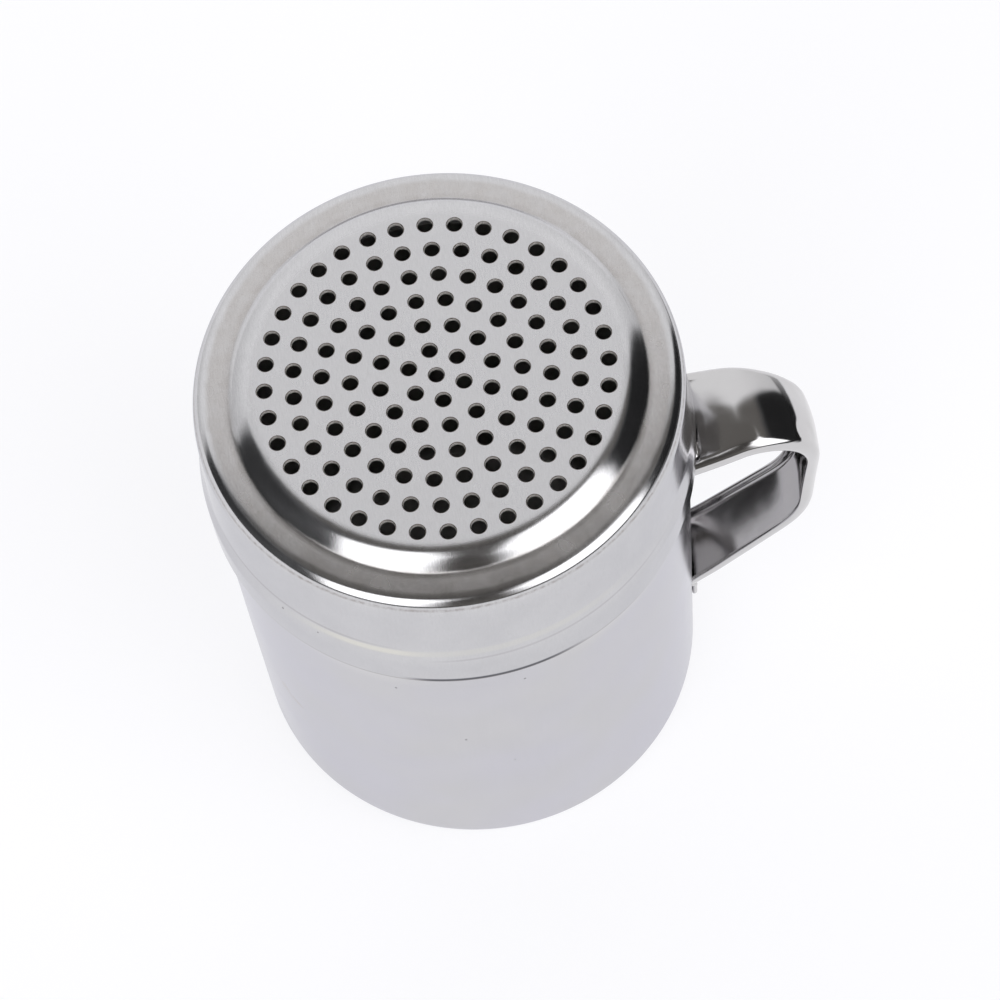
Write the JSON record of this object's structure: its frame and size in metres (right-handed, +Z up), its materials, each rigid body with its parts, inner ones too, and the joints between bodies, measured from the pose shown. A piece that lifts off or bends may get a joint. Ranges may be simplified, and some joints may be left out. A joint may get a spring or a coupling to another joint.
{
  "type": "spice shaker with strap handle",
  "caption": "Cylindrical stainless steel shaker with a perforated lift-off cap lid and a strap handle welded to its side, for sprinkling ground spice, sugar or flour.",
  "frame": {"origin": "centre of the underside of the canister, on the surface it stands on", "axes": "+Z up along the axis of the canister and lid, +X out through the middle of the handle"},
  "size_m": [0.0883, 0.07, 0.09],
  "materials": {
    "canister_steel": "polished stainless sheet",
    "lid_steel": "satin top, polished skirt",
    "strap_steel": "polished stainless strap",
    "weld_steel": "cleaned resistance weld"
  },
  "bodies": {
    "canister": {"canister_body": "canister_steel", "handle_strap": "strap_steel", "upper_spot_welds": "weld_steel", "lower_spot_welds": "weld_steel"},
    "lid": {"perforated_lid": "lid_steel"}
  },
  "joints": [
    {"name": "lid_lift", "type": "slide", "parent": "canister", "child": "lid", "axis": [0, 0, 1], "range_m": [0, 0.035]}
  ]
}
